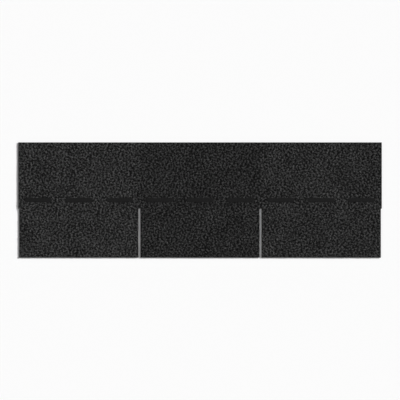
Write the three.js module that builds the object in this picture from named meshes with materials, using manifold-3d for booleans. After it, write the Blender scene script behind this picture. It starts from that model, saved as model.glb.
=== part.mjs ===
/**
 * Three-tab asphalt strip shingle, lying flat with its granule face up.
 *
 * One strip is die-cut from a continuous sheet of asphalt-coated glass mat. Its lower part is
 * parted into three tabs by narrow keyways, and each end carries half a keyway, so that two
 * strips butted end to end show one more keyway between them. A line of adhesive dashes on the
 * face grips the tabs of the next course. A release film on the back, behind those dashes,
 * keeps the strips from sticking to each other while they are stacked.
 *
 * Units are millimetres. X runs along the strip, -Y is the butt edge of the tabs, +Y the edge
 * that goes up the roof, and +Z the weather face. The origin is under the strip's middle.
 */
import * as THREE from 'three';
import * as BufferGeometryUtils from 'three/addons/utils/BufferGeometryUtils.js';
import Module from 'manifold-3d';

// The strip.
const STRIP_LENGTH = 1000;
const STRIP_WIDTH = 317;
const STRIP_THICKNESS = 3;
const TAB_COUNT = 3;
const EXPOSURE = 130;           // tab height that the next course leaves to the weather

// Marks of the cutting die.
const KEYWAY_WIDTH = 5;
const KEYWAY_OVERCUT = 5;       // a keyway ends this far up under the next course
const KEYWAY_END_RADIUS = 1.5;
const TAB_CORNER_RADIUS = 1.2;
const HEAD_CORNER_RADIUS = 1.2;
const SHOULDER_RADIUS = 0.8;    // the outer corner above each half keyway
const EDGE_ROUND = 0.4;         // roll-over along every cut edge

// Adhesive dashes, squashed onto the granules along the strip's middle.
const DASHES_PER_TAB = 3;
const DASH_LENGTH = 75;
const DASH_WIDTH = 12;
const DASH_HEIGHT = 0.8;
const DASH_SHOULDER_WIDTH = 3;  // how far the rounded shoulder reaches in from the rim
const DASH_RIM_HEIGHT = 0.2;    // steep foot below the rounded shoulder

// Release film, pressed into the back behind the dashes.
const FILM_WIDTH = 32;
const FILM_THICKNESS = 0.1;
const FILM_SINK = 0.05;         // how far the film lies inside the back

const ARC_SEGMENTS = 4;
const EDGE_SEGMENTS = 3;

// Worked out from the above.
const HALF_LENGTH = STRIP_LENGTH / 2;
const BUTT_Y = -STRIP_WIDTH / 2;
const HEAD_Y = STRIP_WIDTH / 2;
const KEYWAY_TOP_Y = BUTT_Y + EXPOSURE + KEYWAY_OVERCUT;
const TAB_PITCH = STRIP_LENGTH / TAB_COUNT;
const DASH_COUNT = TAB_COUNT * DASHES_PER_TAB;
const DASH_PITCH = STRIP_LENGTH / DASH_COUNT;

const granuleSheet = new THREE.MeshStandardMaterial({ color: 0x292929, roughness: 0.95, metalness: 0 });
const adhesive = new THREE.MeshStandardMaterial({ color: 0x141414, roughness: 0.3, metalness: 0 });
const clearFilm = new THREE.MeshStandardMaterial({ color: 0x3b3d40, roughness: 0.25, metalness: 0 });

const manifold = await Module();
manifold.setup();

/** A closed THREE geometry as a manifold solid. */
function toSolid(geometry) {
  const bare = geometry.clone();
  bare.deleteAttribute('normal');
  bare.deleteAttribute('uv');
  const merged = BufferGeometryUtils.mergeVertices(bare);
  return new manifold.Manifold(new manifold.Mesh({
    numProp: 3,
    vertProperties: new Float32Array(merged.attributes.position.array),
    triVerts: new Uint32Array(merged.index.array),
  }));
}

/** A manifold solid as a THREE geometry. */
function toGeometry(solid) {
  const mesh = solid.getMesh();
  const geometry = new THREE.BufferGeometry();
  geometry.setAttribute('position', new THREE.BufferAttribute(mesh.vertProperties, 3));
  geometry.setIndex(new THREE.BufferAttribute(mesh.triVerts, 1));
  geometry.computeVertexNormals();
  return geometry;
}

/** The first geometry with the second one's space cut out of it. */
function cut(geometry, cutter) {
  return toGeometry(toSolid(geometry).subtract(toSolid(cutter)));
}

/** A box centred on x, y and z. */
function block(sizeX, sizeY, sizeZ, x, y, z) {
  return new THREE.BoxGeometry(sizeX, sizeY, sizeZ).translate(x, y, z);
}

/**
 * A closed outline through corners given anticlockwise as { x, y, radius }, each one rounded by
 * an arc that touches both of its sides. It turns left at convex corners and right at concave ones.
 */
function roundedOutline(corners) {
  const shape = new THREE.Shape();
  corners.forEach(({ x, y, radius }, i) => {
    const corner = new THREE.Vector2(x, y);
    const before = corners.at(i - 1);
    const after = corners[(i + 1) % corners.length];
    const back = new THREE.Vector2(before.x, before.y).sub(corner).normalize();
    const ahead = new THREE.Vector2(after.x, after.y).sub(corner).normalize();
    const halfAngle = Math.acos(back.dot(ahead)) / 2;
    const toTangent = radius / Math.tan(halfAngle);
    const start = corner.clone().addScaledVector(back, toTangent);
    const end = corner.clone().addScaledVector(ahead, toTangent);
    const toCentre = back.clone().add(ahead).normalize().multiplyScalar(radius / Math.sin(halfAngle));
    const centre = corner.clone().add(toCentre);
    const turnsRight = back.cross(ahead) > 0;
    if (i === 0) shape.moveTo(start.x, start.y);
    else shape.lineTo(start.x, start.y);
    const startAngle = Math.atan2(start.y - centre.y, start.x - centre.x);
    const endAngle = Math.atan2(end.y - centre.y, end.x - centre.x);
    shape.absarc(centre.x, centre.y, radius, startAngle, endAngle, turnsRight);
  });
  shape.closePath();
  return shape;
}

/** The four lower corners of one tab, from the keyway on its left to the one on its right. */
function tabCorners(tab) {
  const left = -HALF_LENGTH + tab * TAB_PITCH + KEYWAY_WIDTH / 2;
  const right = left + TAB_PITCH - KEYWAY_WIDTH;
  return [
    { x: left, y: KEYWAY_TOP_Y, radius: KEYWAY_END_RADIUS },
    { x: left, y: BUTT_Y, radius: TAB_CORNER_RADIUS },
    { x: right, y: BUTT_Y, radius: TAB_CORNER_RADIUS },
    { x: right, y: KEYWAY_TOP_Y, radius: KEYWAY_END_RADIUS },
  ];
}

/** The die-cut outline of the whole strip: three tabs below, one headlap across the top. */
function stripOutline() {
  const tabs = Array.from({ length: TAB_COUNT }, (_, tab) => tabCorners(tab)).flat();
  return roundedOutline([
    { x: -HALF_LENGTH, y: HEAD_Y, radius: HEAD_CORNER_RADIUS },
    { x: -HALF_LENGTH, y: KEYWAY_TOP_Y, radius: SHOULDER_RADIUS },
    ...tabs,
    { x: HALF_LENGTH, y: KEYWAY_TOP_Y, radius: SHOULDER_RADIUS },
    { x: HALF_LENGTH, y: HEAD_Y, radius: HEAD_CORNER_RADIUS },
  ]);
}

/** The sheet itself, with every cut edge rolled over and a bed for the film in its back. */
function stripGeometry() {
  const sheet = new THREE.ExtrudeGeometry(stripOutline(), {
    depth: STRIP_THICKNESS - 2 * EDGE_ROUND,
    curveSegments: ARC_SEGMENTS,
    bevelThickness: EDGE_ROUND,
    bevelSize: EDGE_ROUND,
    bevelOffset: -EDGE_ROUND,
    bevelSegments: EDGE_SEGMENTS,
  }).translate(0, 0, EDGE_ROUND);
  const bedDepth = FILM_SINK + FILM_THICKNESS;
  const filmBed = block(STRIP_LENGTH + 2, FILM_WIDTH, 2 * bedDepth, 0, 0, 0);
  return cut(sheet, filmBed);
}

/** One dash of adhesive: round ends, a steep foot, a rounded shoulder and a flattened top. */
function dashGeometry() {
  const radius = DASH_WIDTH / 2;
  const reach = DASH_LENGTH / 2 - radius;
  const outline = new THREE.Shape();
  outline.absarc(reach, 0, radius, -Math.PI / 2, Math.PI / 2);
  outline.absarc(-reach, 0, radius, Math.PI / 2, 1.5 * Math.PI);
  outline.closePath();
  // A pillow twice the dash's height, halved at its middle, leaves the flat sole.
  const pillow = new THREE.ExtrudeGeometry(outline, {
    depth: 2 * DASH_RIM_HEIGHT,
    curveSegments: 2 * ARC_SEGMENTS,
    bevelThickness: DASH_HEIGHT - DASH_RIM_HEIGHT,
    bevelSize: DASH_SHOULDER_WIDTH,
    bevelOffset: -DASH_SHOULDER_WIDTH,
    bevelSegments: EDGE_SEGMENTS + 1,
  }).translate(0, 0, -DASH_RIM_HEIGHT);
  const lowerHalf = block(DASH_LENGTH + 2, DASH_WIDTH + 2, 2 * DASH_HEIGHT, 0, 0, -DASH_HEIGHT);
  return cut(pillow, lowerHalf);
}

/** The strip of film, which ends where the strip's end edges begin to round. */
function filmGeometry() {
  const length = STRIP_LENGTH - 2 * EDGE_ROUND;
  return block(length, FILM_WIDTH, FILM_THICKNESS, 0, 0, FILM_SINK + FILM_THICKNESS / 2);
}

/** A named mesh. */
function piece(name, geometry, material) {
  const mesh = new THREE.Mesh(geometry, material);
  mesh.name = name;
  return mesh;
}

/** The line of dashes on the weather face, each one on its own pitch. */
function sealantLine() {
  const line = new THREE.Group();
  const geometry = dashGeometry();
  for (let i = 0; i < DASH_COUNT; i += 1) {
    const dash = piece(`sealant_dash_${i + 1}`, geometry, adhesive);
    dash.position.set(-HALF_LENGTH + (i + 0.5) * DASH_PITCH, 0, STRIP_THICKNESS);
    line.add(dash);
  }
  return line;
}

const shingle = new THREE.Group();
shingle.add(piece('shingle_strip', stripGeometry(), granuleSheet));
shingle.add(sealantLine());
shingle.add(piece('release_film', filmGeometry(), clearFilm));

export default shingle;
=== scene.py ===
"""Looks of a three-tab asphalt strip shingle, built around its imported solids.

The strip is an asphalt-coated glass mat with a bed of crushed mineral granules rolled into its
face. Here the mat and coating are one sheet with a ragged die-cut edge, the granules are real
grains, the adhesive dashes are squashed beads and the release film is a thin wrinkled ribbon.

Everything is in metres, in the frame of the solids: X along the strip, -Y the butt edge of the
tabs, +Z the weather face. Lengths given in millimetres are multiplied by MM.
"""

import logging
import math
from collections.abc import Iterator
from dataclasses import dataclass
from enum import Enum

import bmesh
import bpy
import numpy as np
from mathutils import Euler, Matrix, Vector, noise


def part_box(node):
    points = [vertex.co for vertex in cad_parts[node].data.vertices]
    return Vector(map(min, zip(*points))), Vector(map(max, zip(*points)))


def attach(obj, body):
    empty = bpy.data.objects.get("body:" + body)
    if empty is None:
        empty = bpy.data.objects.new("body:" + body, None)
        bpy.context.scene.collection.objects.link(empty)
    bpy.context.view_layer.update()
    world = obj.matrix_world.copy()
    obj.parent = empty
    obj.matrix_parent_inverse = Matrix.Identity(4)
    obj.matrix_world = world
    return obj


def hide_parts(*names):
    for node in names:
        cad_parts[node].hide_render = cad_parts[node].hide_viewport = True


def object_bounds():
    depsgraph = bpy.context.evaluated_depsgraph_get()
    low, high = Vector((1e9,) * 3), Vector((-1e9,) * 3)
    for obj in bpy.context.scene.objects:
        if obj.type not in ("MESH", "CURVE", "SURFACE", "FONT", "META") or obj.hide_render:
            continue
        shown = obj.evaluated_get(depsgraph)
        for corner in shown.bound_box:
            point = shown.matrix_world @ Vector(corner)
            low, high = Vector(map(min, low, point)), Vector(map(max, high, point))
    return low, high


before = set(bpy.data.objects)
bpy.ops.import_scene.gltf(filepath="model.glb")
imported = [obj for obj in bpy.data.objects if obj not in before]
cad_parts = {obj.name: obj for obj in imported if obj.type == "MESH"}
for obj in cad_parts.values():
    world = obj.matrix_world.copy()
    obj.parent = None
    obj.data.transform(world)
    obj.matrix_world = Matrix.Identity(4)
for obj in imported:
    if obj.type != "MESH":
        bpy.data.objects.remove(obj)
CAD_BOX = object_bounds()

LOG = logging.getLogger("shingle")
ROOT = "root"
MM = 0.001
SAME_PLACE = 0.001 * MM  # points closer than this to a cut lie on it
WELD = 0.03 * MM  # points closer than this are joined
FAR = 1.0  # further out than any point of the strip
QUAD = 4  # corners of a whole cell; those that the outline cuts can have more

Socket = bpy.types.NodeSocket
Span = tuple[float, float]
Colour = tuple[float, float, float, float]


class Slot(Enum):
    """The record's material slots."""

    SHEET = "granule_sheet"
    ADHESIVE = "adhesive"
    FILM = "clear_film"


class Third(Enum):
    """The thirds of the strip, one tab wide each, with how light their granules came out."""

    LEFT = ("left", 1.13)
    MIDDLE = ("middle", 0.86)
    RIGHT = ("right", 1.06)

    def __init__(self, label: str, shade: float) -> None:
        """Keeps the word used in piece names and the tone factor."""
        self.label = label
        self.shade = shade


# --------------------------------------------------------------------------------------------
# Finishes
# --------------------------------------------------------------------------------------------


class Graph:
    """A short way to write a material's node tree."""

    MIX_COLOURS = (6, 7)  # a Mix node's sockets for the two colours
    MIX_RESULT = 2

    def __init__(self, name: str) -> None:
        """Starts an empty material.

        Args:
            name: the material's name.
        """
        self.material = bpy.data.materials.new(name)
        self.material.use_nodes = True
        self.tree = self.material.node_tree
        self.tree.nodes.clear()

    def node(self, kind: str, **settings: object) -> bpy.types.Node:
        """Adds a node.

        Args:
            kind: the node's type, without the ShaderNode prefix.
            settings: properties to set on it.

        Returns:
            The new node.
        """
        made = self.tree.nodes.new("ShaderNode" + kind)
        for name, value in settings.items():
            setattr(made, name, value)
        return made

    def feed(self, socket: Socket, value: object) -> None:
        """Links an output to a socket, or sets the socket to a plain value.

        Args:
            socket: the input to feed.
            value: another node's output, a number or a colour.
        """
        if isinstance(value, Socket):
            self.tree.links.new(value, socket)
        else:
            socket.default_value = value

    def place(self) -> Socket:
        """The surface point in the object's own metres."""
        return self.node("TexCoord").outputs["Object"]

    def height(self) -> Socket:
        """Splits off the surface point's height.

        Returns:
            Metres above the plane that the strip lies on.
        """
        split = self.node("SeparateXYZ")
        self.feed(split.inputs[0], self.place())
        return split.outputs["Z"]

    def attribute(self, name: str) -> Socket:
        """A number stored on the mesh."""
        return self.node("Attribute", attribute_name=name).outputs["Fac"]

    def noise(self, size: float, detail: float = 2.0, stretch: Vector | None = None) -> Socket:
        """Soft random noise.

        Args:
            size: the width of one light or dark patch, in metres.
            detail: octaves of finer noise.
            stretch: factors on the pattern's frequency along X, Y and Z.

        Returns:
            A value round 0.5.
        """
        made = self.node("TexNoise")
        made.inputs["Scale"].default_value = 1.0 / size
        made.inputs["Detail"].default_value = detail
        where = self.place()
        if stretch is not None:
            mapping = self.node("Mapping")
            mapping.inputs["Scale"].default_value = stretch
            self.feed(mapping.inputs["Vector"], where)
            where = mapping.outputs["Vector"]
        self.feed(made.inputs["Vector"], where)
        return made.outputs["Fac"]

    def ranged(self, value: Socket, source: Span, target: Span = (0.0, 1.0)) -> Socket:
        """Maps a value from one range to another.

        Args:
            value: what is mapped.
            source: the range that it comes in.
            target: the range that it leaves in, clamped at both ends.

        Returns:
            The mapped value.
        """
        made = self.node("MapRange")
        self.feed(made.inputs["Value"], value)
        for name, number in zip(("From Min", "From Max"), source, strict=True):
            made.inputs[name].default_value = number
        for name, number in zip(("To Min", "To Max"), target, strict=True):
            made.inputs[name].default_value = number
        return made.outputs["Result"]

    def maths(self, operation: str, first: object, second: object) -> Socket:
        """Joins two values by arithmetic.

        Args:
            operation: the Math node's word for it.
            first: an output or a number.
            second: an output or a number.

        Returns:
            The result.
        """
        made = self.node("Math", operation=operation)
        self.feed(made.inputs[0], first)
        self.feed(made.inputs[1], second)
        return made.outputs[0]

    def product(self, *factors: Socket) -> Socket:
        """Multiplies several values together.

        Args:
            factors: the values.

        Returns:
            Their product.
        """
        total = factors[0]
        for factor in factors[1:]:
            total = self.maths("MULTIPLY", total, factor)
        return total

    def steps(self, value: Socket, stops: tuple[Span, ...]) -> Socket:
        """A grey that jumps from stop to stop.

        Args:
            value: what picks the stop, from 0 to 1.
            stops: where each grey starts and how light it is.

        Returns:
            The grey as a colour.
        """
        made = self.node("ValToRGB")
        ramp = made.color_ramp
        ramp.interpolation = "CONSTANT"
        while len(ramp.elements) < len(stops):
            ramp.elements.new(1.0)
        for element, (start, level) in zip(ramp.elements, stops, strict=True):
            element.position = start
            element.color = grey(level)
        self.feed(made.inputs["Fac"], value)
        return made.outputs["Color"]

    def blend(self, share: Socket, first: object, second: object) -> Socket:
        """Mixes two colours.

        Args:
            share: how much of the second colour there is, from 0 to 1.
            first: an output or a colour.
            second: an output or a colour.

        Returns:
            The mixed colour.
        """
        made = self.node("Mix", data_type="RGBA")
        self.feed(made.inputs["Factor"], share)
        for socket, colour in zip(self.MIX_COLOURS, (first, second), strict=True):
            self.feed(made.inputs[socket], colour)
        return made.outputs[self.MIX_RESULT]

    def scaled(self, colour: Socket, factor: Socket) -> Socket:
        """Makes a colour lighter or darker.

        Args:
            colour: the colour.
            factor: what it is multiplied by.

        Returns:
            The new colour.
        """
        made = self.node("VectorMath", operation="SCALE")
        self.feed(made.inputs[0], colour)
        self.feed(made.inputs["Scale"], factor)
        return made.outputs[0]

    def bump(self, height: Socket, depth: float, strength: float = 0.6) -> Socket:
        """A normal from a height pattern.

        Args:
            height: the pattern, from 0 to 1.
            depth: how deep a full step is, in metres.
            strength: share of the effect.

        Returns:
            The normal.
        """
        made = self.node("Bump")
        made.inputs["Strength"].default_value = strength
        made.inputs["Distance"].default_value = depth
        self.feed(made.inputs["Height"], height)
        return made.outputs["Normal"]

    def surface(self, **sockets: object) -> bpy.types.Material:
        """Closes the tree with a Principled shader.

        Args:
            sockets: values or outputs for its sockets, named with _ for spaces.

        Returns:
            The finished material.
        """
        shader = self.node("BsdfPrincipled")
        for name, value in sockets.items():
            self.feed(shader.inputs[name.replace("_", " ")], value)
        output = self.node("OutputMaterial")
        self.feed(output.inputs["Surface"], shader.outputs["BSDF"])
        return self.material


def grey(level: float) -> Colour:
    """A neutral opaque colour."""
    return (level, level, level, 1.0)


@dataclass(frozen=True)
class GranuleFinish:
    """Crushed rock fired with a dark ceramic coat, a mix of several shades."""

    name: str = "mineral_granules"
    shades: tuple[Span, ...] = (
        (0.00, 0.004),
        (0.16, 0.009),
        (0.33, 0.025),
        (0.52, 0.045),
        (0.76, 0.067),
        (0.95, 0.107),
    )
    roughness: Span = (0.92, 0.62)
    specular: float = 0.04

    def material(self) -> bpy.types.Material:
        """Makes the material, which reads the blend and shade stored on each grain.

        Returns:
            The granules' material, lighter grains a little smoother.
        """
        graph = Graph(self.name)
        blend = graph.attribute(GrainMark.BLEND.value)
        shade = graph.attribute(GrainMark.SHADE.value)
        return graph.surface(
            Base_Color=graph.scaled(graph.steps(blend, self.shades), shade),
            Roughness=graph.ranged(blend, (0.0, 1.0), self.roughness),
            Specular_IOR_Level=self.specular,
        )


@dataclass(frozen=True)
class AsphaltFinish:
    """Oxidised asphalt on a glass mat: bare between the granules, cut at the edge, sanded behind.

    Each window is the stretch of a noise over which its pattern goes from none to full.
    """

    name: str = "asphalt_coating"
    bare: float = 0.003
    sand: float = 0.060
    mat: float = 0.090
    mat_height: float = 1.25 * MM
    mat_half: float = 0.28 * MM
    mat_cover: float = 0.8
    fibre_size: float = 0.5 * MM
    fibre_window: Span = (0.45, 0.62)
    back_height: float = 0.22 * MM
    sand_size: float = 0.45 * MM
    sand_window: Span = (0.42, 0.68)
    sand_cover: Span = (0.15, 1.0)
    dust_size: float = 35 * MM
    dust_window: Span = (0.3, 0.7)
    dust_cover: Span = (0.55, 1.0)
    octaves: float = 3.0
    roughness: Span = (0.5, 0.88)
    specular: float = 0.05
    relief: float = 0.12 * MM

    def mat_line(self, graph: Graph) -> Socket:
        """Draws the glass mat as a broken pale line half way up the cut edge.

        Args:
            graph: the material's tree.

        Returns:
            The share of mat fibre at a point.
        """
        off = graph.maths("ABSOLUTE", graph.maths("SUBTRACT", graph.height(), self.mat_height), 0.0)
        band = graph.ranged(off, (0.0, self.mat_half), (1.0, 0.0))
        fibres = graph.noise(self.fibre_size, self.octaves)
        return graph.product(band, graph.ranged(fibres, self.fibre_window, (0.0, self.mat_cover)))

    def material(self) -> bpy.types.Material:
        """Makes the material, with its regions told apart by height.

        Returns:
            The sheet's material, bare but for the mat line and the sanded back.
        """
        graph = Graph(self.name)
        grain = graph.noise(self.sand_size, self.octaves)
        sand = graph.ranged(grain, self.sand_window, self.sand_cover)
        dust = graph.ranged(graph.noise(self.dust_size, self.octaves), self.dust_window, self.dust_cover)
        behind = graph.ranged(graph.height(), (self.back_height, 2 * self.back_height), (1.0, 0.0))
        sanded = graph.blend(graph.product(behind, sand, dust), grey(self.bare), grey(self.sand))
        return graph.surface(
            Base_Color=graph.blend(self.mat_line(graph), sanded, grey(self.mat)),
            Roughness=graph.ranged(behind, (0.0, 1.0), self.roughness),
            Specular_IOR_Level=self.specular,
            Normal=graph.bump(grain, self.relief),
        )


@dataclass(frozen=True)
class AdhesiveFinish:
    """Soft modified asphalt, black with a dull shine, and specks of dust stuck to it."""

    name: str = "tab_adhesive"
    black: float = 0.004
    speck: float = 0.045
    speck_size: float = 0.35 * MM
    speck_octaves: float = 1.0
    speck_window: Span = (0.68, 0.74)
    speck_cover: float = 0.7
    ripple: float = 1.3 * MM
    ripple_octaves: float = 3.0
    ripple_window: Span = (0.3, 0.7)
    roughness: Span = (0.40, 0.64)
    specular: float = 0.10
    relief: float = 0.25 * MM

    def material(self) -> bpy.types.Material:
        """Makes the material.

        Returns:
            The dashes' material.
        """
        graph = Graph(self.name)
        ripple = graph.noise(self.ripple, self.ripple_octaves)
        specks = graph.noise(self.speck_size, self.speck_octaves)
        cover = graph.ranged(specks, self.speck_window, (0.0, self.speck_cover))
        return graph.surface(
            Base_Color=graph.blend(cover, grey(self.black), grey(self.speck)),
            Roughness=graph.ranged(ripple, self.ripple_window, self.roughness),
            Specular_IOR_Level=self.specular,
            Normal=graph.bump(ripple, self.relief),
        )


@dataclass(frozen=True)
class FilmFinish:
    """Thin clear release film: black where it clings to the asphalt, and a lighter silvery grey where
    air is behind it, which is a painted reflection of the air pocket.
    """

    name: str = "release_film"
    clinging: float = 0.018
    # painted reflection: the lighter silvery grey where air is behind the film
    loose_painted_sheen: Colour = (0.120, 0.125, 0.134, 1.0)
    pucker: float = 2.6 * MM
    pucker_octaves: float = 3.0
    pucker_stretch: Vector = Vector((0.16, 1.0, 1.0))
    pucker_window: Span = (0.3, 0.7)
    pocket: float = 22 * MM
    pocket_window: Span = (0.35, 0.65)
    pocket_lift: Span = (-0.10, 0.12)
    lift_painted_sheen_window: Span = (0.42, 0.66)
    roughness: Span = (0.14, 0.34)
    gloss: float = 0.4
    gloss_roughness: float = 0.1
    relief: float = 0.12 * MM

    def material(self) -> bpy.types.Material:
        """Makes the material, with puckers that run along the strip and, in noise patches, a lighter
        silvery grey that paints the reflection of air pockets behind the film.

        Returns:
            The film's material.
        """
        graph = Graph(self.name)
        puckers = graph.noise(self.pucker, self.pucker_octaves, self.pucker_stretch)
        pockets = graph.ranged(graph.noise(self.pocket), self.pocket_window, self.pocket_lift)
        # patches where the film stands off the asphalt; there the colour turns to a lighter silvery
        # grey, a painted reflection of the air pocket
        lift_painted_sheen = graph.ranged(graph.maths("ADD", puckers, pockets), self.lift_painted_sheen_window)
        return graph.surface(
            Base_Color=graph.blend(lift_painted_sheen, grey(self.clinging), self.loose_painted_sheen),
            Roughness=graph.ranged(puckers, self.pucker_window, self.roughness),
            Coat_Weight=self.gloss,
            Coat_Roughness=self.gloss_roughness,
            Normal=graph.bump(puckers, self.relief),
        )


# --------------------------------------------------------------------------------------------
# Plan of the strip
# --------------------------------------------------------------------------------------------


@dataclass(frozen=True)
class Patch:
    """A rectangle of the weather face, and which of its sides the die cut."""

    name: str
    left: float
    right: float
    low: float
    high: float
    cut_left: bool
    cut_right: bool
    cut_low: bool
    cut_high: bool


@dataclass(frozen=True)
class StripPlan:
    """The strip seen from above, sized from its solid."""

    tab_count: int = 3
    exposure: float = 130 * MM
    keyway_overcut: float = 5 * MM
    keyway_width: float = 5 * MM
    keyway_end_radius: float = 1.5 * MM
    corner_radius: float = 1.2 * MM
    shoulder_radius: float = 0.8 * MM

    @property
    def low(self) -> Vector:
        """The solid's lowest corner."""
        return Vector(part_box("shingle_strip")[0])

    @property
    def high(self) -> Vector:
        """The solid's highest corner."""
        return Vector(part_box("shingle_strip")[1])

    @property
    def keyway_top(self) -> float:
        """Y of the keyways' closed ends."""
        return self.low.y + self.exposure + self.keyway_overcut

    @property
    def tab_pitch(self) -> float:
        """From one keyway to the next."""
        return (self.high.x - self.low.x) / self.tab_count

    def tab_span(self, tab: int) -> Span:
        """X of a tab's left and right edges, counted from the left."""
        left = self.low.x + tab * self.tab_pitch + self.keyway_width / 2
        return left, left + self.tab_pitch - self.keyway_width

    def keyway_centres(self) -> list[float]:
        """X of the middle of each full keyway."""
        return [self.low.x + i * self.tab_pitch for i in range(1, self.tab_count)]

    def corners(self) -> list[tuple[float, float, float]]:
        """Lists the outline's corners anticlockwise.

        Returns:
            The x, y and radius of each.
        """
        found = [
            (self.low.x, self.high.y, self.corner_radius),
            (self.low.x, self.keyway_top, self.shoulder_radius),
        ]
        for tab in range(self.tab_count):
            left, right = self.tab_span(tab)
            found += [
                (left, self.keyway_top, self.keyway_end_radius),
                (left, self.low.y, self.corner_radius),
                (right, self.low.y, self.corner_radius),
                (right, self.keyway_top, self.keyway_end_radius),
            ]
        found += [
            (self.high.x, self.keyway_top, self.shoulder_radius),
            (self.high.x, self.high.y, self.corner_radius),
        ]
        return found

    def patches(self) -> Iterator[Patch]:
        """Parts the weather face into patches.

        Returns:
            One patch for each tab, each followed by one for the headlap above it.
        """
        last = self.tab_count - 1
        for tab, third in enumerate(Third):
            left, right = self.tab_span(tab)
            yield Patch(
                f"granules_{third.label}_tab",
                left, right, self.low.y, self.keyway_top,
                cut_left=True, cut_right=True, cut_low=True, cut_high=False,
            )
            start = self.low.x + tab * self.tab_pitch
            yield Patch(
                f"granules_{third.label}_headlap",
                start, start + self.tab_pitch, self.keyway_top, self.high.y,
                cut_left=tab == 0, cut_right=tab == last, cut_low=False, cut_high=True,
            )


def new_piece(mesh: bpy.types.Mesh, material: bpy.types.Material) -> bpy.types.Object:
    """Puts a mesh into the scene as a piece of the strip.

    Args:
        mesh: the piece's mesh, in place and under its name.
        material: its finish.

    Returns:
        The piece, riding on the strip's only body.
    """
    mesh.materials.append(material)
    piece = bpy.data.objects.new(mesh.name, mesh)
    bpy.context.scene.collection.objects.link(piece)
    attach(piece, ROOT)
    return piece


def mesh_of(bm: bmesh.types.BMesh, name: str, smooth: bool) -> bpy.types.Mesh:
    """Turns a bmesh into a mesh and frees it.

    Its operators leave points and faces in an order that changes from run to run, so the mesh
    gets them sorted by place.

    Args:
        bm: a closed shape.
        name: the mesh's name.
        smooth: whether its faces shade into each other.

    Returns:
        The mesh, with its faces pointing outwards.
    """
    bmesh.ops.recalc_face_normals(bm, faces=bm.faces[:])
    points = sorted(bm.verts, key=lambda vert: tuple(vert.co))
    for index, vert in enumerate(points):
        vert.index = index
    faces = []
    for face in bm.faces:
        corners = [vert.index for vert in face.verts]
        first = corners.index(min(corners))
        faces.append(corners[first:] + corners[:first])
    mesh = bpy.data.meshes.new(name)
    mesh.from_pydata([vert.co for vert in points], [], sorted(faces), shade_flat=not smooth)
    mesh.update()
    bm.free()
    return mesh


# --------------------------------------------------------------------------------------------
# The sheet
# --------------------------------------------------------------------------------------------


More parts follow.
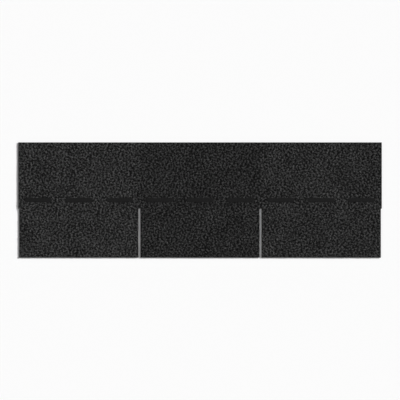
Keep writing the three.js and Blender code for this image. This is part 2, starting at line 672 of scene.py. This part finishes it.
@dataclass
class AsphaltSheet:
    """The coated mat: a flat sheet with a slightly ragged edge and a bed for the film behind."""

    plan: StripPlan
    finish: AsphaltFinish
    coating_top: float = 2.2 * MM
    cell: float = 10 * MM
    corner_segments: int = 4
    rim_cuts: int = 4
    rag: float = 0.16 * MM
    rag_size: float = 2.4 * MM
    round_over: float = 0.35 * MM
    round_power: int = 8
    wall_rise: float = 0.5  # a face whose normal rises less than this is part of the cut edge
    film_half_width: float = 16 * MM
    film_bed: float = 0.15 * MM
    bed_slope: float = 0.1 * MM

    def outline_face(self, bm: bmesh.types.BMesh) -> None:
        """Makes the outline as one face, with its corners rounded.

        Args:
            bm: an empty bmesh.
        """
        corners = self.plan.corners()
        points = [bm.verts.new((x, y, self.coating_top)) for x, y, _ in corners]
        bm.faces.new(points)
        by_radius: dict[float, list[bmesh.types.BMVert]] = {}
        for point, (_, _, radius) in zip(points, corners, strict=True):
            by_radius.setdefault(radius, []).append(point)
        for radius, group in by_radius.items():
            bmesh.ops.bevel(
                bm, geom=group, offset=radius, offset_type="OFFSET", segments=self.corner_segments,
                profile=0.5, affect="VERTICES", material=-1,
            )

    def cell_places(self, low: float, high: float) -> list[float]:
        """Evenly spaced places between two ends, about a cell apart."""
        count = round((high - low) / self.cell)
        return [low + (high - low) * i / count for i in range(1, count)]

    def slice_up(self, bm: bmesh.types.BMesh) -> None:
        """Cuts the face into cells, with two close cuts along each side of the film's bed.

        Args:
            bm: the outline face.
        """
        low, high = self.plan.low, self.plan.high
        near, far = self.film_half_width, self.film_half_width + self.bed_slope
        cuts = {
            (1, 0, 0): self.cell_places(low.x, high.x),
            (0, 1, 0): [*self.cell_places(low.y, high.y), -far, -near, near, far],
        }
        for axis, places in cuts.items():
            for place in places:
                bmesh.ops.bisect_plane(
                    bm, geom=bm.verts[:] + bm.edges[:] + bm.faces[:], dist=SAME_PLACE,
                    plane_co=Vector(axis) * place, plane_no=axis,
                )
        # Splitting the edges and nothing else keeps new edges from bridging the keyways' ends.
        rim = [e for e in bm.edges if e.is_boundary and e.calc_length() > self.rag_size]
        bmesh.ops.bisect_edges(bm, edges=rim, cuts=self.rim_cuts)
        bmesh.ops.remove_doubles(bm, verts=bm.verts[:], dist=WELD)

    def thicken(self, bm: bmesh.types.BMesh) -> None:
        """Gives the sheet its thickness and a few rings round its edge.

        Args:
            bm: the sliced face.
        """
        drop = self.coating_top - self.plan.low.z
        grown = bmesh.ops.extrude_face_region(bm, geom=bm.faces[:], use_keep_orig=True)
        lower = [item for item in grown["geom"] if isinstance(item, bmesh.types.BMVert)]
        bmesh.ops.translate(bm, verts=lower, vec=(0, 0, -drop))
        uprights = [e for e in bm.edges if abs(e.verts[0].co.z - e.verts[1].co.z) > drop / 2]
        bmesh.ops.subdivide_edges(bm, edges=uprights, cuts=self.rim_cuts)
        bmesh.ops.recalc_face_normals(bm, faces=bm.faces[:])
        bm.normal_update()

    def shape_edge(self, bm: bmesh.types.BMesh) -> None:
        """Rolls the cut edge over at the top and bottom, and makes it ragged.

        Args:
            bm: the thick sheet.
        """
        middle = self.coating_top / 2
        steep = [face for face in bm.faces if abs(face.normal.z) < self.wall_rise]
        walls = {vert for face in steep for vert in face.verts}
        for vert in walls:
            outward = Vector((vert.normal.x, vert.normal.y, 0)).normalized()
            high = abs(vert.co.z - middle) / middle
            uneven = noise.noise(vert.co / self.rag_size)
            vert.co += outward * (self.rag * uneven - self.round_over * high**self.round_power)

    def sink_bed(self, bm: bmesh.types.BMesh) -> None:
        """Lifts the back where the film lies.

        Args:
            bm: the thick sheet.
        """
        half = self.film_half_width + self.bed_slope / 2
        for vert in bm.verts:
            if vert.co.z < self.film_bed and abs(vert.co.y) < half:
                vert.co.z += self.film_bed

    def build(self) -> bpy.types.Object:
        """Makes the sheet, which stands for the strip's solid.

        Returns:
            The finished piece.
        """
        bm = bmesh.new()
        self.outline_face(bm)
        self.slice_up(bm)
        self.thicken(bm)
        self.shape_edge(bm)
        self.sink_bed(bm)
        bmesh.ops.triangulate(bm, faces=[f for f in bm.faces if len(f.verts) > QUAD])
        mesh = mesh_of(bm, "asphalt_sheet", smooth=False)
        piece = new_piece(mesh, self.finish.material())
        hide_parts("shingle_strip")
        return piece


# --------------------------------------------------------------------------------------------
# The granules
# --------------------------------------------------------------------------------------------


class GrainMark(Enum):
    """Numbers stored on every grain for its material."""

    BLEND = "grain_blend"
    SHADE = "grain_shade"


class Pattern(Enum):
    """Unlike patterns over the bed, each a slice of the same noise at a depth of its own."""

    CLUMPS = 17.3
    MOTTLE = 34.6
    BALD_SPOTS = 51.9


@dataclass
class Grains:
    """Where grains sit, how far each is heaved up or down, and how light it is.

    Blend runs from 0 for the darkest grain to 1 for the lightest, and shade is a factor on that.
    """

    seats: np.ndarray
    heave: np.ndarray
    blend: np.ndarray
    shade: np.ndarray

    def only(self, kept: np.ndarray) -> "Grains":
        """The grains that a mask keeps."""
        return Grains(self.seats[kept], self.heave[kept], self.blend[kept], self.shade[kept])


@dataclass
class GranuleBed:
    """Crushed granules rolled into the coating, as joined grains in one mesh for each patch."""

    plan: StripPlan
    finish: GranuleFinish
    dashes: list[tuple[Vector, Vector]]
    spacing: float = 1.8 * MM
    jitter: float = 0.42
    radius: Span = (0.92 * MM, 1.55 * MM)
    unevenness: Span = (0.72, 1.25)
    flatness: float = 0.64
    seat: float = 2.38 * MM
    seat_spread: float = 0.10 * MM
    heave: float = 0.34 * MM
    bald_above: float = 0.52
    bald_size: float = 3.4 * MM
    clump_size: float = 5.0 * MM
    chance_weight: float = 0.12
    evening: float = 0.9
    evening_reach: float = 7 * MM
    mottle_size: float = 34 * MM
    mottle_weight: float = 0.08
    edge_inset: float = 0.35 * MM
    dash_lap: float = 0.9 * MM
    shade_fade: float = 14 * MM
    seed: int = 31

    @property
    def row_gap(self) -> float:
        """From one row of the hexagonal net to the next."""
        return self.spacing * math.sqrt(3) / 2

    def grain(self) -> tuple[np.ndarray, np.ndarray]:
        """Makes the plain grain that all others vary.

        Returns:
            Its corners and its triangles.
        """
        bm = bmesh.new()
        bmesh.ops.create_uvsphere(bm, u_segments=4, v_segments=2, radius=1.0)
        corners = np.array([v.co for v in bm.verts])
        triangles = np.array([[v.index for v in f.verts] for f in bm.faces])
        bm.free()
        return corners, triangles

    def patchy(self, points: np.ndarray, size: float, pattern: Pattern) -> np.ndarray:
        """Smooth noise at each point, from about -1 to 1.

        Args:
            points: x and y of each point.
            size: the width of one high or low patch.
            pattern: which of the unlike patterns.

        Returns:
            A value for each point.
        """
        return np.array([noise.noise((x, y, pattern.value)) for x, y in points / size])

    def local_mean(self, values: np.ndarray) -> np.ndarray:
        """Averages values over the grains that lie round each one.

        Args:
            values: one for each row and column of the net.

        Returns:
            The averages, in the same places.
        """
        for axis, gap in enumerate((self.row_gap, self.spacing)):
            kernel = np.hanning(2 * round(self.evening_reach / gap) + 1)
            values = np.apply_along_axis(np.convolve, axis, values, kernel / kernel.sum(), mode="same")
        return values

    def scatter(self, rng: np.random.Generator) -> Grains:
        """Grains all over the strip on a loose hexagonal net, their shades in small, even clumps.

        Args:
            rng: the source of chance.

        Returns:
            The grains of the whole strip and a little past its edges.
        """
        low, high = self.plan.low, self.plan.high
        columns = np.arange(low.x - self.spacing, high.x + self.spacing, self.spacing)
        rows = np.arange(low.y - self.spacing, high.y + self.spacing, self.row_gap)
        x, y = np.meshgrid(columns, rows)
        x[1::2] += self.spacing / 2
        points = np.stack([x.ravel(), y.ravel()], 1)
        points += rng.uniform(-self.jitter, self.jitter, points.shape) * self.spacing
        clumps = self.patchy(points, self.clump_size, Pattern.CLUMPS)
        lightness = clumps + rng.normal(size=len(points)) * self.chance_weight
        lightness -= self.local_mean(lightness.reshape(x.shape)).ravel() * self.evening
        lightness += self.patchy(points, self.mottle_size, Pattern.MOTTLE) * self.mottle_weight
        blend = lightness.argsort().argsort() / len(points)
        bald = self.patchy(points, self.bald_size, Pattern.BALD_SPOTS) > self.bald_above
        grains = Grains(points, clumps * self.heave, blend, self.shades_at(points[:, 0]))
        return grains.only(~bald & ~self.under_dashes(points))

    def under_dashes(self, points: np.ndarray) -> np.ndarray:
        """Finds the points that lie well inside a dash of adhesive, which buries them.

        Args:
            points: x and y of each point.

        Returns:
            A mask.
        """
        found = np.zeros(len(points), bool)
        for low, high in self.dashes:
            centre, half = (low + high) / 2, (high - low) / 2
            along = np.maximum(np.abs(points[:, 0] - centre.x) - (half.x - half.y), 0)
            found |= np.hypot(along, points[:, 1] - centre.y) < half.y - self.dash_lap
        return found

    def shades_at(self, x: np.ndarray) -> np.ndarray:
        """Finds how light the granules came out, each third fading into the next one.

        Args:
            x: where each grain is along the strip.

        Returns:
            The factor on each grain's lightness.
        """
        fade = np.array([-1, 1]) * self.shade_fade / 2
        places = np.concatenate([centre + fade for centre in self.plan.keyway_centres()])
        return np.interp(x, places, np.repeat([third.shade for third in Third], 2)[1:-1])

    def grains_on(self, patch: Patch, grains: Grains) -> Grains:
        """Picks the grains that belong to a patch.

        Args:
            patch: the patch.
            grains: the grains of the whole strip.

        Returns:
            The patch's grains, with those just over a cut edge moved in from it.
        """
        over = self.spacing / 2
        x, y = grains.seats.T
        found = grains.only(
            (x >= patch.left - over * patch.cut_left)
            & (x < patch.right + over * patch.cut_right)
            & (y >= patch.low - over * patch.cut_low)
            & (y < patch.high + over * patch.cut_high)
        )
        self.hold_in(patch, found.seats, self.edge_inset)
        return found

    def hold_in(self, patch: Patch, points: np.ndarray, inset: float) -> None:
        """Moves points in place back inside the patch's cut edges and out of the keyways' ends.

        Args:
            patch: the patch.
            points: an array whose last axis starts with x and y.
            inset: how far inside the cut edges they stay.
        """
        left = patch.left + inset if patch.cut_left else -FAR
        right = patch.right - inset if patch.cut_right else FAR
        low = patch.low + inset if patch.cut_low else -FAR
        high = patch.high - inset if patch.cut_high else FAR
        points[..., 0] = points[..., 0].clip(left, right)
        points[..., 1] = points[..., 1].clip(low, high)
        if not patch.cut_low:
            for centre in self.plan.keyway_centres():
                over = np.abs(points[..., 0] - centre) < self.plan.keyway_width / 2
                floor = np.where(over, patch.low + inset, -FAR)
                points[..., 1] = np.maximum(points[..., 1], floor)

    def turns(self, count: int, rng: np.random.Generator) -> np.ndarray:
        """Random rotations in all directions.

        Args:
            count: how many.
            rng: the source of chance.

        Returns:
            The rotations as 3 by 3 matrices.
        """
        q = rng.normal(size=(count, 4))
        w, x, y, z = (q / np.linalg.norm(q, axis=1, keepdims=True)).T
        rows = [
            [1 - 2 * (y * y + z * z), 2 * (x * y - z * w), 2 * (x * z + y * w)],
            [2 * (x * y + z * w), 1 - 2 * (x * x + z * z), 2 * (y * z - x * w)],
            [2 * (x * z - y * w), 2 * (y * z + x * w), 1 - 2 * (x * x + y * y)],
        ]
        return np.array(rows).transpose(2, 0, 1)

    def corners_of_grains(self, patch: Patch, grains: Grains, rng: np.random.Generator) -> np.ndarray:
        """Gives each grain a size, shape and lie of its own.

        Args:
            patch: where the grains lie.
            grains: their middles and heave.
            rng: the source of chance.

        Returns:
            An array of grain, corner and place.
        """
        template = self.grain()[0]
        count = len(grains.seats)
        size = rng.uniform(*self.radius, (count, 1, 1))
        uneven = rng.uniform(*self.unevenness, (count, len(template), 1))
        corners = np.einsum("nij,nkj->nki", self.turns(count, rng), template * uneven) * size
        corners[..., 2] *= self.flatness
        corners[..., :2] += grains.seats[:, None]
        self.hold_in(patch, corners, 0.0)
        depth = grains.heave + rng.uniform(-self.seat_spread, self.seat_spread, count)
        corners[..., 2] += self.seat + depth[:, None]
        return corners

    def joined(self, name: str, corners: np.ndarray) -> bpy.types.Mesh:
        """Joins grains into one mesh.

        Args:
            name: the mesh's name.
            corners: an array of grain, corner and place.

        Returns:
            The mesh, with smooth faces and a bake map that is the patch seen from above.
        """
        triangles = self.grain()[1]
        count, each = corners.shape[:2]
        loops = (triangles[None] + np.arange(count)[:, None, None] * each).ravel()
        flat = corners.reshape(-1, 3)
        mesh = bpy.data.meshes.new(name)
        mesh.vertices.add(len(flat))
        mesh.vertices.foreach_set("co", flat.ravel())
        mesh.loops.add(len(loops))
        mesh.loops.foreach_set("vertex_index", loops.astype(np.int32))
        mesh.polygons.add(len(loops) // 3)
        mesh.polygons.foreach_set("loop_start", np.arange(0, len(loops), 3, dtype=np.int32))
        mesh.update(calc_edges=True)
        low, high = flat.min(0)[:2], flat.max(0)[:2]
        uv = (flat[loops, :2] - low) / (high - low)
        mesh.uv_layers.new(name="OFBake").uv.foreach_set("vector", uv.astype(np.float32).ravel())
        return mesh

    def bed_mesh(self, patch: Patch, grains: Grains, rng: np.random.Generator) -> bpy.types.Mesh:
        """Makes a patch's grains, each with its marks stored on all its corners.

        Args:
            patch: where the grains lie.
            grains: the patch's grains.
            rng: the source of chance.

        Returns:
            The mesh of the patch.
        """
        corners = self.corners_of_grains(patch, grains, rng)
        mesh = self.joined(patch.name, corners)
        for mark, values in ((GrainMark.BLEND, grains.blend), (GrainMark.SHADE, grains.shade)):
            layer = mesh.attributes.new(mark.value, "FLOAT", "POINT")
            layer.data.foreach_set("value", np.repeat(values, corners.shape[1]).astype(np.float32))
        return mesh

    def build(self) -> list[bpy.types.Object]:
        """Makes the granules of every patch.

        Returns:
            One piece for each patch.
        """
        rng = np.random.default_rng(self.seed)
        material = self.finish.material()
        grains = self.scatter(rng)
        pieces = []
        for patch in self.plan.patches():
            mesh = self.bed_mesh(patch, self.grains_on(patch, grains), rng)
            pieces.append(new_piece(mesh, material))
        return pieces


# --------------------------------------------------------------------------------------------
# Adhesive and film
# --------------------------------------------------------------------------------------------


@dataclass
class AdhesiveDash:
    """One bead of adhesive, squashed on the granules, a little uneven in outline and height."""

    node: str
    number: int
    material: bpy.types.Material
    along: int = 160
    across: int = 22
    squareness: float = 2.5
    sway: float = 1.4 * MM
    sway_size: float = 8 * MM
    nibble: float = 1.4 * MM
    nibble_size: float = 2.2 * MM
    dimple: float = 0.30 * MM
    dimple_size: float = 2.0 * MM
    sole: float = 0.85 * MM
    seam_gap: float = 10.0  # between the slices of noise that two beads take

    def bead(self, bm: bmesh.types.BMesh, low: Vector, high: Vector) -> None:
        """Shapes a grid into the bead's upper skin.

        Args:
            bm: an empty bmesh.
            low: the solid's lowest corner.
            high: its highest corner.
        """
        centre, half = (low + high) / 2, (high - low) / 2
        straight = half.x - half.y
        seam = self.seam_gap * self.number
        bmesh.ops.create_grid(bm, x_segments=self.along, y_segments=self.across, size=1.0)
        for vert in bm.verts:
            x = half.x * math.sin(vert.co.x * math.pi / 2)
            spine = Vector((min(max(x, -straight), straight), 0.0))
            past = (x - spine.x) / half.y
            y = half.y * math.sqrt(max(0.0, 1 - past * past)) * math.sin(vert.co.y * math.pi / 2)
            spot = Vector((x, y))
            away = (spot - spine).normalized()
            rim = ((spot - spine).length / half.y) ** self.squareness
            crown = math.sqrt(max(0.0, 1 - rim * rim))
            foot = spine + away * half.y
            sway = noise.noise((*(foot / self.sway_size), seam)) * self.sway
            nibble = noise.noise((*(foot / self.nibble_size), seam)) * self.nibble
            dimple = noise.noise((*(spot / self.dimple_size), seam)) * self.dimple
            # All points between the spine and one foot move the same way, so the skin can't fold.
            spot += away * (sway + nibble) * rim
            height = (high.z - low.z - self.dimple + dimple) * crown
            vert.co = (centre.x + spot.x, centre.y + spot.y, low.z + height)
        bmesh.ops.remove_doubles(bm, verts=bm.verts[:], dist=WELD)

    def build(self) -> bpy.types.Object:
        """Makes the bead with its sole sunk among the granules.

        Returns:
            The finished piece.
        """
        low, high = (Vector(corner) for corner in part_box(self.node))
        bm = bmesh.new()
        self.bead(bm, low, high)
        rim = [e for e in bm.edges if e.is_boundary]
        grown = bmesh.ops.extrude_edge_only(bm, edges=rim)
        for item in grown["geom"]:
            if isinstance(item, bmesh.types.BMVert):
                item.co.z = low.z - self.sole
        bmesh.ops.holes_fill(bm, edges=[e for e in bm.edges if e.is_boundary])
        mesh = mesh_of(bm, f"adhesive_bead_{self.number}", smooth=True)
        piece = new_piece(mesh, self.material)
        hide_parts(self.node)
        return piece


@dataclass
class ReleaseFilm:
    """The thin film pressed into the strip's back."""

    finish: FilmFinish
    along: int = 320
    across: int = 10
    crease: float = 0.035 * MM
    crease_size: Vector = Vector((14 * MM, 2.5 * MM, 1.0))
    edge_wander: float = 0.25 * MM
    edge_slowness: float = 0.4
    edge_power: int = 6

    def ribbon(self, bm: bmesh.types.BMesh, low: Vector, high: Vector) -> None:
        """Makes the film's lower skin, creased along its length and a little wavy at its edges.

        Args:
            bm: an empty bmesh.
            low: the solid's lowest corner.
            high: its highest corner.
        """
        centre, half = (low + high) / 2, (high - low) / 2
        bmesh.ops.create_grid(bm, x_segments=self.along, y_segments=self.across, size=1.0)
        place = Matrix.Translation((centre.x, centre.y, low.z + self.crease))
        bmesh.ops.transform(bm, verts=bm.verts[:], matrix=place @ Matrix.Diagonal((*half.xy, 1, 1)))
        for vert in bm.verts:
            spot = Vector(a / b for a, b in zip(vert.co, self.crease_size, strict=True))
            near_edge = (abs(vert.co.y - centre.y) / half.y) ** self.edge_power
            wander = (noise.noise(spot * self.edge_slowness) + 1) / 2 * self.edge_wander
            vert.co.z += noise.noise(spot) * self.crease
            vert.co.y -= math.copysign(wander * near_edge, vert.co.y)

    def build(self) -> bpy.types.Object:
        """Makes the film as a closed ribbon.

        Returns:
            The finished piece.
        """
        low, high = (Vector(corner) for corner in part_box("release_film"))
        bm = bmesh.new()
        self.ribbon(bm, low, high)
        grown = bmesh.ops.extrude_face_region(bm, geom=bm.faces[:], use_keep_orig=True)
        upper = [item for item in grown["geom"] if isinstance(item, bmesh.types.BMVert)]
        bmesh.ops.translate(bm, verts=upper, vec=(0, 0, (high.z - low.z) / 2))
        mesh = mesh_of(bm, "clear_release_film", smooth=True)
        piece = new_piece(mesh, self.finish.material())
        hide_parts("release_film")
        return piece


# --------------------------------------------------------------------------------------------
# Studio
# --------------------------------------------------------------------------------------------


@dataclass(frozen=True)
class Sun:
    """A soft, distant lamp. Its level is the share of full daylight that it gives to the floor."""

    name: str
    elevation: float
    azimuth: float
    spread: float
    level: float

    def add(self) -> None:
        """Adds the lamp to the scene."""
        lamp = bpy.data.lights.new(self.name, "SUN")
        height = math.radians(self.elevation)
        lamp.energy = math.pi * self.level / math.sin(height)
        lamp.angle = math.radians(self.spread)
        item = bpy.data.objects.new(self.name, lamp)
        turn = Euler((math.pi / 2 - height, 0, math.radians(self.azimuth)))
        item.matrix_world = turn.to_matrix().to_4x4()
        bpy.context.scene.collection.objects.link(item)


@dataclass
class Studio:
    """A pale floor, soft light and a camera that looks straight down."""

    floor_grey: float = 0.97
    floor_half: float = 60.0
    sky: float = 0.24
    lens: float = 200.0
    sensor: float = 36.0
    view_end: float = 100.0
    image_pixels: int = 400
    pixel: float = 2.75 * MM
    suns: tuple[Sun, ...] = (
        Sun("key_light", elevation=25, azimuth=118, spread=8, level=0.70),
        Sun("fill_light", elevation=50, azimuth=-62, spread=40, level=0.06),
    )

    def floor(self) -> None:
        """Lays the floor."""
        bm = bmesh.new()
        bmesh.ops.create_grid(bm, x_segments=1, y_segments=1, size=self.floor_half)
        mesh = bpy.data.meshes.new("floor")
        bm.to_mesh(mesh)
        bm.free()
        graph = Graph("pale_floor")
        matt = graph.node("BsdfDiffuse")
        matt.inputs["Color"].default_value = grey(self.floor_grey)
        graph.feed(graph.node("OutputMaterial").inputs["Surface"], matt.outputs["BSDF"])
        mesh.materials.append(graph.material)
        item = bpy.data.objects.new("floor", mesh)
        bpy.context.scene.collection.objects.link(item)

    def world(self) -> None:
        """Fills the room with soft light, and shows the floor's own white behind everything."""
        world = bpy.data.worlds.new("studio")
        bpy.context.scene.world = world
        world.use_nodes = True
        tree = world.node_tree
        path = tree.nodes.new("ShaderNodeLightPath")
        seen = path.outputs["Is Camera Ray"]
        for name in ("Is Glossy Ray", "Is Transmission Ray"):
            most = tree.nodes.new("ShaderNodeMath")
            most.operation = "MAXIMUM"
            tree.links.new(seen, most.inputs[0])
            tree.links.new(path.outputs[name], most.inputs[1])
            seen = most.outputs[0]
        level = tree.nodes.new("ShaderNodeMapRange")
        level.inputs["To Min"].default_value = self.sky
        level.inputs["To Max"].default_value = self.floor_grey
        tree.links.new(seen, level.inputs["Value"])
        tree.links.new(level.outputs["Result"], tree.nodes["Background"].inputs["Strength"])
        tree.nodes["Background"].inputs["Color"].default_value = grey(1.0)

    def camera(self) -> None:
        """Hangs the camera over the strip's middle."""
        lens = bpy.data.cameras.new("camera")
        lens.lens = self.lens
        lens.sensor_width = self.sensor
        lens.clip_end = self.view_end
        item = bpy.data.objects.new("camera", lens)
        low, high = CAD_BOX
        middle = (low + high) / 2
        across = self.image_pixels * self.pixel
        item.location = (middle.x, middle.y, high.z + across * self.lens / self.sensor)
        bpy.context.scene.collection.objects.link(item)
        bpy.context.scene.camera = item

    def build(self) -> None:
        """Sets up the floor, the lamps, the world and the camera."""
        self.floor()
        for sun in self.suns:
            sun.add()
        self.world()
        self.camera()
        bpy.context.scene.view_settings.view_transform = "Standard"


def main() -> None:
    """Builds the strip's pieces in order, reports each one, and sets up the studio."""
    logging.basicConfig(level=logging.INFO, format="%(name)s %(message)s")
    plan = StripPlan()
    dashes = sorted(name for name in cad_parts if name.startswith("sealant_dash_"))
    pieces = [AsphaltSheet(plan, AsphaltFinish()).build()]
    pieces += GranuleBed(plan, GranuleFinish(), [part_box(node) for node in dashes]).build()
    adhesive = AdhesiveFinish().material()
    beads = [AdhesiveDash(node, number, adhesive) for number, node in enumerate(dashes, start=1)]
    pieces += [bead.build() for bead in beads]
    pieces.append(ReleaseFilm(FilmFinish()).build())
    for piece in pieces:
        LOG.info("%s: %d faces", piece.name, len(piece.data.polygons))
    Studio().build()


if __name__ == "__main__":
    main()
